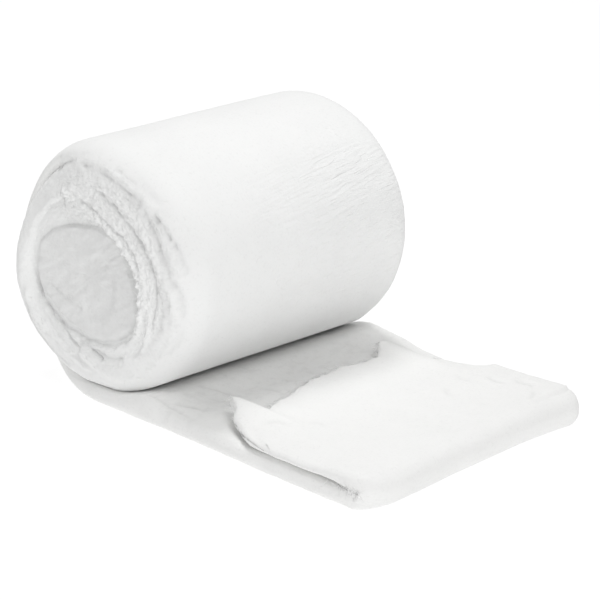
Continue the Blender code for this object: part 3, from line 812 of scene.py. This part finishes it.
def build_wound_roll(material):
    """The wound form: both ends with their torn, ridged turns, and the side between them."""
    near = wound_end(NEAR, 0)
    far = wound_end(FAR, len(near[0]))
    total = len(near[0]) + len(far[0])
    vertices, cloth, painted_shade, crepe = ([near[i], far[i]] for i in range(4))
    faces = near[4] + far[4]
    part = turn_parts()
    radius = wound_radius(part)
    out_x, out_z = outward(part)
    before = 0
    for i in range(1, SIDE_ROWS):
        y = -near[5] + (far[5] + near[5]) * i / SIDE_ROWS
        push, fine = side_unevenness(part, y)
        vertices.append(in_frame((radius + push) * out_x, y, (radius + push) * out_z))
        cloth.append(np.stack([cloth_around(part), y, np.zeros(ROLL_STEPS)], axis=-1))
        painted_shade.append(np.zeros(ROLL_STEPS))
        crepe.append(fine)
        faces += ring_faces(total, before, ROLL_STEPS, ROLL_STEPS, False)
        before = total
        total += ROLL_STEPS
    faces += ring_faces(len(near[0]), before, ROLL_STEPS, ROLL_STEPS, False)
    return make_mesh(
        "wound_roll_cloth", np.vstack(vertices), faces, material, np.vstack(cloth), np.concatenate(painted_shade),
        np.concatenate(crepe),
    )


def tail_edge(share, turns, thin, end):
    """The place across the cloth of an edge point of the loose end."""
    level = EDGE_ROUNDING * (1.0 - math.sqrt(1.0 - (2.0 * share - 1.0) ** 2))
    groove = EDGE_GROOVE * (2.0 * share - 1.0) ** 3 * crevice(turns) if share > 0.5 else 0.0
    on_roll = shoulder_inset(share * PITCH * thin, turns, end) + groove
    inset = mix(level, on_roll, smoothstep(turns, LEVEL_TURNS, SHOULDER_TURNS))
    return end["side"] * (HALF_WIDTH - inset) + read(LOOSE_EDGES, turns, end["column"])


def sections(turns, thin):
    """y and share round the cloth's section at each line: outer face, far edge, inner face, near edge."""
    row = np.ones(TAIL_CELLS + 1)
    sides, shares = [], []
    for face, start, stop, edge_shares in ((0.0, NEAR, FAR, EDGE_SHARES), (1.0, FAR, NEAR, EDGE_SHARES[::-1])):
        ends = (tail_edge(face, turns, thin, end) for end in (start, stop))
        sides.append(np.linspace(*ends, TAIL_CELLS + 1, axis=1))
        sides.append(np.stack([tail_edge(share, turns, thin, stop) for share in edge_shares], axis=1))
        shares += [face * row, edge_shares]
    share = np.concatenate(shares)
    return np.hstack(sides), np.broadcast_to(share, (len(turns), len(share)))


def stations():
    """The lines across the cloth: outer x and z, inner x and z, turns, along the flap, along the cloth, thinness."""
    turns = np.linspace(THIN_TO, 0.0, ROUND_LINES + 1)[:-1]
    thin = 1.0 - (1.0 - THINNEST) * smoothstep(turns, THIN_FROM, THIN_TO)
    out_x, out_z = outward(turns)
    outer = round_radius(turns) + LIFT - (LIFT + SINK) * smoothstep(turns, SINK_FROM, THIN_TO)
    inner = outer - (round_radius(turns) - round_radius(turns, PAD_THICKNESS / PITCH)) * thin
    run = -turns * FULL_TURN * CENTRE_HEIGHT
    made = [(outer * out_x, outer * out_z + CENTRE_HEIGHT, inner * out_x, inner * out_z + CENTRE_HEIGHT, turns, 0.0,
             run, thin)]

    x = np.concatenate([np.linspace(start, stop, count)[:-1] for start, stop, count in TAIL_LINES_AT])
    swollen = PAD_THICKNESS + (TAIL_THICKNESS - PAD_THICKNESS) * smoothstep(x, SWELL_FROM, SWELL_TO)
    made.append((x, 0.0, x, swollen, 0.0, 0.0, x, 1.0))

    angle = np.linspace(0.0, math.pi, FOLD_LINES + 1)[:-1]
    across, up = np.sin(angle), 1.0 - np.cos(angle)
    gap = FOLD_GAP / 2
    made.append((FOLD_X + FOLD_RADIUS * across, FOLD_RADIUS * up, FOLD_X + gap * across, TAIL_THICKNESS + gap * up,
                 0.0, 0.0, FOLD_X + FOLD_RADIUS * angle, 1.0))

    half = FLAP_THICKNESS / 2
    rounding = np.radians(FLAP_END_ANGLES)
    along = np.concatenate([np.linspace(0.0, FLAP_STRAIGHT, FLAP_ROWS), FLAP_STRAIGHT + half * np.sin(rounding)])
    thinner = np.concatenate([np.zeros(FLAP_ROWS), half * (1.0 - np.cos(rounding))])
    x = FOLD_X - along
    made.append((x, 2.0 * FOLD_RADIUS - thinner, x, TAIL_THICKNESS + FOLD_GAP + thinner, 0.0, along,
                 FOLD_X + FOLD_RADIUS * math.pi + along, 1.0))
    return np.vstack([np.stack(np.broadcast_arrays(*columns), axis=1) for columns in made])


def side_wave(x, y):
    """How far a point of the loose end moves across with the waves of the side that it is nearest to."""
    wave = np.where(y < 0.0, read(SIDE_WAVES, x, 1), read(SIDE_WAVES, x, 2))
    return wave * (y / HALF_WIDTH) ** 3


def swell(x, y):
    """The height of the soft swells at this place."""
    total = np.zeros(x.shape)
    for middle_x, middle_y, height, reach in SWELLS:
        total += height * np.exp(-((x - middle_x) ** 2 + (y - middle_y) ** 2) / reach**2)
    return total


def creases(x, y, lines, seed):
    """The height of small listed creases at this place, and how deep in one it lies."""
    x, y = x / MM, y / MM
    height, painted_shade = np.zeros(x.shape), np.zeros(x.shape)
    for i, (rise, half_width, text) in enumerate(lines):
        line = smooth_line(points_of(text), cuts=LINE_CUTS)
        close = near_line(x, y, line, 3.0 * half_width + 3.0)
        away, passed = distance_to(*torn(x[close], y[close], CREASE_TEAR, seed + 9 * i), line)
        shown = bell(away, half_width) * (0.3 + 0.7 * hump(passed, *CREASE_ENDS))
        height[close] += rise * shown
        # A sunk crease is also painted darker: painted shade along it
        if rise < 0:
            painted_shade[close] += shown * min(-rise / half_width, 1.0)
    return height * MM, painted_shade


def fine_relief(x, y, on_flap):
    """The height of the small creases and the matting of the loose end's upper faces, and its painted shade, with a
    painted shadow of the roll on the tail.
    """
    flap_height, flap_painted_shade = creases(x, y, FLAP_LINES, 800)
    flap_height += uneven("flap", x, y)
    tail_height, tail_painted_shade = creases(x, y, TAIL_LINES, 900)
    matted = uneven("matted", x, y)
    tail_height += uneven("tail", x, y) + MATTED_RISE * matted
    # Painted shade in the matting's hollows
    tail_painted_shade += MATTED_PAINTED_SHADE * smoothstep(-matted, *MATTED_SPAN)
    # Painted shadow of the roll over the tail's upper face, fading out towards its sides
    tail_painted_shade += TAIL_PAINTED_SHADOW * smoothstep(HALF_WIDTH - 0.005 - np.abs(y), 0.0, 0.050)
    return np.where(on_flap, flap_height, tail_height), np.where(on_flap, flap_painted_shade, tail_painted_shade)


def laid_flat(x, y, z, share, along):
    """Where the flat and folded part of the loose end comes to lie, and the painted shade on its upper faces."""
    on_flap = along > 0.0
    cut = smoothstep(along, FLAP_STRAIGHT - CUT_DRAW_LENGTH, FLAP_STRAIGHT)
    tear = uneven("tear", y, y * 0.0) * (np.abs(y) < TEAR_REACH)
    flat_x = x + (read(CUT_EDGE, y, 1) + tear) * cut
    flat_x = flat_x - read(FOLD_OUTLINE, y) * smoothstep(flat_x, FOLD_X - FOLD_DRAW_LENGTH, TAIL_REACH)
    flat_z = z + (read(CUT_EDGE, y, 2) - read(CUT_EDGE, y, 3) * (1.0 - share)) * cut
    in_open = share * smoothstep(flat_x, SWELL_FROM, SWELL_TO) * (1.0 - smoothstep(flat_x, OPEN_TO, FLAP_FROM))
    upper = np.where(on_flap, 1.0 - share, in_open)
    fine, painted_shade = fine_relief(flat_x, y, on_flap)
    flat_z = flat_z + (swell(flat_x, y) + fine) * upper

    gap = read(GAP_WIDTHS, flat_x)
    gap = np.where(gap > 0.0, gap * (1.0 + uneven("gap", flat_x, flat_x * 0.0)), gap)
    gap = gap * smoothstep(flat_x, FLAP_FROM, GAP_WIDTHS[0][0]) * smoothstep(np.abs(y), *GAP_ACROSS)
    flat_z = flat_z + gap * smoothstep(share, 0.45, 1.0) * np.where(on_flap, 0.7, -0.45)
    edge_slope = smoothstep(-y, *FLAP_EDGE_ACROSS) * (1.0 - smoothstep(flat_x, *FLAP_EDGE_ALONG))
    flat_z = flat_z - FLAP_EDGE_DROP * edge_slope * (1.0 - share) * on_flap
    flat_z = flat_z + CONTACT_SWELL * bell(flat_x - CONTACT_X, CONTACT_REACH) * share * ~on_flap

    rounding = EDGE_ROUNDING * (1.0 - np.sqrt(1.0 - (2.0 * share - 1.0) ** 2)) * (share > 0.5)
    closed = CLOSED_SHARE * smoothstep(flat_x, CLOSED_FROM, CLOSED_TO)
    flat_y = y * (1.0 + closed * rounding / (HALF_WIDTH - rounding)) + side_wave(flat_x, y)
    flat_y = flat_y + np.sign(y) * uneven("sides", flat_x, z)
    return flat_x, flat_y, flat_z, painted_shade * upper


def build_loose_end(material):
    """The cloth's outer end: round the left of the roll, along the surface and folded back over itself."""
    lines = stations()
    turns, thin = lines[:, 4], lines[:, 7]
    y, share = sections(turns, thin)
    outer_x, outer_z, inner_x, inner_z, turn, along, run, _ = (
        np.broadcast_to(column[:, None], y.shape) for column in lines.T
    )
    x, z = mix(outer_x, inner_x, share), mix(outer_z, inner_z, share)
    edge = smoothstep(np.abs(y), *CUT_FACE) * 0.6
    push, crepe = side_unevenness(turn, y)
    push = push * smoothstep(share, 0.6, 0.0) * smoothstep(turn, *PUSH_TURNS)
    out_x, out_z = outward(turn)
    flat_x, flat_y, flat_z, painted_shade = laid_flat(x, y, z, share, along)

    on_roll = turn > 0.0
    x = np.where(on_roll, x + push * out_x, flat_x)
    z = np.where(on_roll, z + push * out_z, flat_z)
    vertices = in_frame(x, np.where(on_roll, y, flat_y), z - CENTRE_HEIGHT)
    cloth = np.stack([run, y, edge], axis=-1)
    painted_shade = np.where(on_roll, 0.0, painted_shade)
    crepe = np.where(on_roll, crepe, FLAT_CREPE)
    ring = y.shape[1]
    faces = []
    for i in range(len(lines) - 1):
        faces += ring_faces(i * ring, (i + 1) * ring, ring, ring, False)
    faces += cap_faces(0, ring, False) + cap_faces((len(lines) - 1) * ring, ring, True)
    made = make_mesh(
        "loose_end_cloth", vertices.reshape(-1, 3), faces, material, cloth.reshape(-1, 3), np.clip(painted_shade, 0.0, 1.0),
        crepe,
    )
    return made, vertices


def cap_faces(start, ring, flip):
    """Faces across the cloth's section, between its outer and its inner face."""
    row = TAIL_CELLS + 1
    edge = len(EDGE_SHARES)
    outer = [start + i for i in range(row)]
    inner = [start + 2 * row + edge - 1 - i for i in range(row)]
    faces = [(outer[i + 1], outer[i], inner[i], inner[i + 1]) for i in range(row - 1)]
    faces.append(tuple(start + i for i in range(row + edge, row - 2, -1)))
    faces.append(tuple([start] + [start + i for i in range(ring - 1, 2 * row + edge - 2, -1)]))
    return [face[::-1] for face in faces] if flip else faces


# Loose fibres


def fibre(start, direction, bend, length, steps=7):
    """Points along one fibre that leaves its start in a direction and bends away from it."""
    share = np.linspace(0.0, 1.0, steps)[:, None]
    direction = np.asarray(direction, float) / np.linalg.norm(direction)
    return np.asarray(start, float) + direction * length * share + np.asarray(bend, float) * length * share**2


def build_fibres(name, paths, radius, material):
    """Fine fibres as one mesh, each a closed three-sided tube that tapers towards its free end."""
    vertices, faces = [], []
    for path in paths:
        path = np.asarray(path)
        run = np.gradient(path, axis=0)
        run /= np.linalg.norm(run, axis=1)[:, None]
        side = np.cross(run, FIBRE_SIDE)
        side /= np.linalg.norm(side, axis=1)[:, None]
        lift = np.cross(side, run)
        thickness = radius * np.linspace(1.0, FIBRE_TAPER, len(path))[:, None]
        first, count = len(vertices), len(path)
        for corner in np.radians((90.0, 210.0, 330.0)):
            vertices.extend(path + thickness * (math.cos(corner) * side + math.sin(corner) * lift))
        for i in range(count - 1):
            for a, b in ((0, 1), (1, 2), (2, 0)):
                left, right = first + a * count + i, first + b * count + i
                faces.append((left, right, right + 1, left + 1))
        faces.append((first, first + 2 * count, first + count))
        faces.append((first + count - 1, first + 2 * count - 1, first + 3 * count - 1))
    vertices = np.array(vertices)
    none = np.zeros(len(vertices))
    return make_mesh(name, vertices, faces, material, np.zeros((len(vertices), 3)), none, none)


def cut_edge_fibres(places, random):
    """Wisps along the torn edge of the folded part, lying out over the cloth below."""
    paths = []
    for _ in range(CUT_FIBRES):
        column = random.integers(BARE_CELLS, TAIL_CELLS + 1 - BARE_CELLS)
        start = places[-random.integers(2, 6), column]
        direction = (-1.0, random.normal(0.0, 0.55), random.normal(0.10, 0.20))
        length = random.uniform(*CUT_FIBRE_LENGTHS)
        bend = (random.normal(0.1, 0.3), random.normal(0.0, 0.45), random.uniform(-0.75, -0.15))
        paths.append(fibre(start, direction, bend, length))
    return paths


def fold_fibres(random):
    """A tuft of fuzz at the near end of the fold, across the mouth of the gap between the layers."""
    paths = []
    for _ in range(FOLD_FIBRES):
        x = FUZZ_TO - abs(random.normal(0.0, FUZZ_SPREAD))
        start = (x + ROLL_X, -HALF_WIDTH + 0.0020 + ROLL_Y, random.uniform(*FUZZ_HEIGHTS))
        direction = (random.normal(-0.2, 0.8), -0.8, random.normal(0.0, 0.8))
        bend = (random.normal(0.0, 0.6), random.uniform(0.1, 0.6), random.uniform(-0.6, 0.3))
        paths.append(fibre(start, direction, bend, random.uniform(*FUZZ_LENGTHS)))
    return paths


def end_fibres(random):
    """Torn threads along the ridges of the near end."""
    ridges = [points_of(text) * MM for rise, _, _, text in NEAR_LINES if rise > 1.0]
    ridges.append(points_of(RING_EDGE)[4:19] * MM)
    lines = [smooth_line(points) for points in ridges]
    starts, runs = [], []
    for i in range(END_FIBRES):
        line = lines[random.integers(len(lines))] if i % 3 else lines[-1]
        at = random.integers(1, len(line) - 1)
        run = line[at + 1] - line[at - 1]
        runs.append(run / np.linalg.norm(run) * random.choice((-1.0, 1.0)))
        starts.append(line[at] + random.normal(0.0, END_FIBRE_SPREAD, 2))
    x, z = np.array(starts).T
    reach, _ = end_surface(x, z, NEAR)
    paths = []
    for start, run in zip(in_frame(x, -reach + END_FIBRE_SINK, z), runs):
        direction = (
            run[0] + random.normal(0.0, 0.35), random.uniform(-0.55, -0.10), run[1] + random.normal(0.0, 0.35)
        )
        bend = (random.normal(0.0, 0.4), random.uniform(0.0, 0.45), random.uniform(-0.5, 0.1))
        paths.append(fibre(start, direction, bend, random.uniform(*END_FIBRE_LENGTHS)))
    return paths


def side_lint():
    """Small curled bits of lint that lie on the roll's side."""
    paths = []
    for part, y, length, lean in SIDE_LINT:
        lean = math.radians(lean)
        push, _ = side_unevenness(np.array(part), np.array(y))
        share = np.linspace(-1.0, 1.0, LINT_POINTS)
        along = share * length * MM / 2.0
        curl = (1.0 - share**2) * length * MM * LINT_CURL
        step_y = along * math.cos(lean) - curl * math.sin(lean)
        step_round = along * math.sin(lean) + curl * math.cos(lean)
        turns = part + step_round / (FULL_TURN * OUTER_RADIUS)
        out_x, out_z = outward(turns)
        end = NEAR if y < 0.0 else FAR
        shoulder = read(end["shoulder"], np.full(LINT_POINTS, part), 1)
        past = np.maximum(np.abs(y + step_y) - (HALF_WIDTH - shoulder), 0.0)
        radius = wound_radius(turns) + push - (shoulder - np.sqrt(np.maximum(shoulder**2 - past**2, 0.0)))
        if part < SEAM_TURNS:
            radius = radius + PITCH
        paths.append(in_frame(radius * out_x, y + step_y, radius * out_z))
    return paths


def calculate(tree, operation, *values):
    """A number worked out from numbers or sockets."""
    return node(tree, "ShaderNodeMath", enumerate(values), operation=operation).outputs[0]


def mapped(tree, value, given, wanted):
    """A value moved from one range to another, each (from, to)."""
    inputs = {"Value": value, "From Min": given[0], "From Max": given[1], "To Min": wanted[0], "To Max": wanted[1]}
    return node(tree, "ShaderNodeMapRange", inputs).outputs[0]


# Materials


def node(tree, kind, inputs=(), **settings):
    """A shader node with its settings, and its inputs as pairs of a number or name and a value or socket."""
    made = tree.nodes.new(kind)
    for name, value in settings.items():
        setattr(made, name, value)
    for name, value in dict(inputs).items():
        if isinstance(value, bpy.types.NodeSocket):
            tree.links.new(value, made.inputs[name])
        else:
            made.inputs[name].default_value = value
    return made


def noise(tree, place, scale, detail, distortion=0.0):
    """A noise texture's grey value."""
    inputs = {"Vector": place, "Scale": scale, "Detail": detail, "Distortion": distortion}
    return node(tree, "ShaderNodeTexNoise", inputs).outputs["Fac"]


def scaled_noise(tree, value, strength):
    """A noise value taken about its middle, so that where its strength changes it makes no step."""
    return calculate(tree, "MULTIPLY", calculate(tree, "SUBTRACT", value, 0.5), strength)


def woven_threads(tree, coordinate, where):
    """A wave for each thread of the gauze along one direction, a little bent."""
    bend = noise(tree, where, 260.0, 1.0)
    spaced = calculate(tree, "MULTIPLY", coordinate, 2.0 * math.pi / THREAD_SPACING)
    return calculate(tree, "SINE", calculate(tree, "MULTIPLY_ADD", bend, THREAD_BEND, spaced))


def new_material(name, settings):
    """A material with these settings on its surface's own sockets, its node tree and its surface."""
    material = bpy.data.materials.new(name)
    material.use_nodes = True
    surface = material.node_tree.nodes["Principled BSDF"]
    for socket, value in settings.items():
        surface.inputs[socket].default_value = value
    return material, material.node_tree, surface


def tinted(tree, colour, share):
    """A colour times a grey value."""
    return node(tree, "ShaderNodeVectorMath", {0: colour[:3], "Scale": share}, operation="SCALE").outputs[0]


def cloth_material(name, colour):
    """Gauze over cotton wool: a fine open weave on the faces, torn fibres in layers on the cut edges, and painted
    shade that darkens the colour.
    """
    material, tree, surface = new_material(name, CLOTH_SURFACE)
    place = node(tree, "ShaderNodeAttribute", attribute_name="cloth").outputs["Vector"]
    painted_shade, crepe = (node(tree, "ShaderNodeAttribute", attribute_name=kept).outputs["Fac"] for kept in KEPT_VALUES)
    along, across, edge = node(tree, "ShaderNodeSeparateXYZ", {0: place}).outputs
    where = node(tree, "ShaderNodeTexCoord").outputs["Object"]

    weave = calculate(tree, "MAXIMUM", woven_threads(tree, along, where), woven_threads(tree, across, where))
    woven = calculate(tree, "MULTIPLY", weave, calculate(tree, "SUBTRACT", 1.0, edge))
    flat = node(tree, "ShaderNodeCombineXYZ", {0: along, 1: across}).outputs[0]
    leaning = {"Vector": flat, "Rotation": (0.0, 0.0, -CREPE_LEAN), "Scale": CREPE_STRETCH}
    along_roll = node(tree, "ShaderNodeMapping", leaning, vector_type="TEXTURE").outputs[0]
    round_roll = node(tree, "ShaderNodeMapping", {"Vector": flat, "Scale": LAYER_STRETCH}).outputs[0]
    fibres = noise(tree, where, 420.0, 3.0)
    bumps = (
        (woven, 0.00005, 0.5),
        (fibres, 0.00035, 0.7),
        (scaled_noise(tree, noise(tree, along_roll, 290.0, 2.0, 0.6), crepe), 0.0020, 0.80),
        (scaled_noise(tree, noise(tree, round_roll, 620.0, 3.0, 0.5), edge), 0.0009, 0.60),
        (noise(tree, where, 55.0, 4.0), 0.0016, 0.40),
    )
    normal = None
    for height, distance, strength in bumps:
        inputs = {"Height": height, "Distance": distance, "Strength": strength}
        if normal is not None:
            inputs["Normal"] = normal
        normal = node(tree, "ShaderNodeBump", inputs).outputs["Normal"]

    patches = mapped(tree, noise(tree, where, 14.0, 3.0), (0.3, 0.7), (0.972, 1.0))
    specks = mapped(tree, fibres, (0.25, 0.45), (0.95, 1.0))
    # Painted shade: the cloth's colour is darkened by the mesh's painted shade value
    painted_shade_tone = mapped(tree, painted_shade, (0.0, 1.0), (1.0, 1.0 - PAINTED_SHADE_DARKENING))
    whole = calculate(tree, "MULTIPLY", calculate(tree, "MULTIPLY", patches, specks), painted_shade_tone)
    tree.links.new(tinted(tree, colour, whole), surface.inputs["Base Color"])
    tree.links.new(normal, surface.inputs["Normal"])
    return material


def thread_material(name, colour):
    """Single loose fibres of cotton, a little uneven in tone."""
    material, tree, surface = new_material(name, THREAD_SURFACE)
    where = node(tree, "ShaderNodeTexCoord").outputs["Object"]
    tone = mapped(tree, noise(tree, where, 180.0, 2.0), (0.0, 1.0), (0.94, 1.0))
    tree.links.new(tinted(tree, colour, tone), surface.inputs["Base Color"])
    return material


# The photographer's table


def build_floor():
    """A wide, pale, matt floor just under the object, which glows a little, so that it stays white there."""
    mesh = bpy.data.meshes.new("floor")
    corners = [(x * FLOOR_SIZE, y * FLOOR_SIZE, 0.0) for x, y in ((-1, -1), (1, -1), (1, 1), (-1, 1))]
    mesh.from_pydata(corners, [], [(0, 1, 2, 3)])
    mesh.materials.append(new_material("floor", FLOOR_SURFACE)[0])
    floor = add_object("floor", mesh)
    floor.location.z = -FLOOR_DROP


def way_to(azimuth, elevation):
    """The way out from the object, from degrees. Azimuth 0 is the -Y side, 90 the +X side."""
    a, e = math.radians(azimuth), math.radians(elevation)
    return Vector((math.sin(a) * math.cos(e), -math.cos(a) * math.cos(e), math.sin(e)))


def light_scene():
    """A white sky and the soft square lights, which face the object."""
    scene = bpy.context.scene
    world = bpy.data.worlds.new("studio")
    world.use_nodes = True
    world.node_tree.nodes["Background"].inputs["Color"].default_value = (1.0, 1.0, 1.0, 1.0)
    world.node_tree.nodes["Background"].inputs["Strength"].default_value = SKY_STRENGTH
    scene.world = world
    for name, azimuth, elevation, size, power in LIGHTS:
        away = way_to(azimuth, elevation)
        data = bpy.data.lights.new(name, "AREA")
        data.size = size
        data.energy = power
        light = add_object(name, data)
        light.location = away * LIGHT_DISTANCE + Vector((0.0, 0.0, LIGHT_AIM_HEIGHT))
        light.rotation_euler = away.to_track_quat("Z", "Y").to_euler()
    scene.view_settings.view_transform = "Standard"
    scene.view_settings.exposure = 0.0


def place_camera():
    """The camera that the photograph's proportions give."""
    azimuth, roll = math.radians(CAMERA_AZIMUTH), math.radians(CAMERA_ROLL)
    back = way_to(CAMERA_AZIMUTH, CAMERA_ELEVATION)
    right = Vector((math.cos(azimuth), math.sin(azimuth), 0.0))
    up = back.cross(right)
    image_right = right * math.cos(roll) + up * math.sin(roll)
    image_up = up * math.cos(roll) - right * math.sin(roll)
    data = bpy.data.cameras.new("camera")
    data.lens = FOCAL_LENGTH
    data.sensor_width = SENSOR_WIDTH
    camera = add_object("camera", data)
    aim = Vector((CAMERA_AIM_X, 0.0, 0.0))
    camera.location = aim + back * CAMERA_DISTANCE + image_right * CAMERA_ACROSS + image_up * CAMERA_UP
    camera.rotation_euler = Matrix((image_right, image_up, back)).transposed().to_euler()
    bpy.context.scene.camera = camera


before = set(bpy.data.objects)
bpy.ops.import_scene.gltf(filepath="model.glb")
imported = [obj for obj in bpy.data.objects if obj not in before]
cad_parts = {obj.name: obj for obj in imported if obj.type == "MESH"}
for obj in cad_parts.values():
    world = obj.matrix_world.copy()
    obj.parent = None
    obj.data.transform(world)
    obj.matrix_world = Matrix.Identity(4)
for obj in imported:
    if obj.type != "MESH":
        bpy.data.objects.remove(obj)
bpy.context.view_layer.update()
place_camera()
light_scene()
build_floor()
wound_cloth = cloth_material("wound_cloth", WOUND_COLOUR)
loose_cloth = cloth_material("loose_cloth", LOOSE_COLOUR)
loose_thread = thread_material("loose_thread", THREAD_COLOUR)
wound_roll = build_wound_roll(wound_cloth)
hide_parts("wound_roll")
loose_end, loose_places = build_loose_end(loose_cloth)
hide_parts("loose_end")
random = np.random.default_rng(11)
cut_fibres = build_fibres("cut_edge_fibres", cut_edge_fibres(loose_places, random), FIBRE_RADIUS, loose_thread)
fold_fuzz = build_fibres("fold_fibres", fold_fibres(random), FIBRE_RADIUS, loose_thread)
end_threads = build_fibres("end_fibres", end_fibres(random), END_FIBRE_RADIUS, loose_thread)
lint = build_fibres("side_lint", side_lint(), LINT_RADIUS, loose_thread)
for piece, slot in (
    (wound_roll, "wound_cloth"),
    (end_threads, "wound_cloth"),
    (lint, "wound_cloth"),
    (loose_end, "loose_cloth"),
    (cut_fibres, "loose_cloth"),
    (fold_fuzz, "loose_cloth"),
):
    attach(piece, "root")
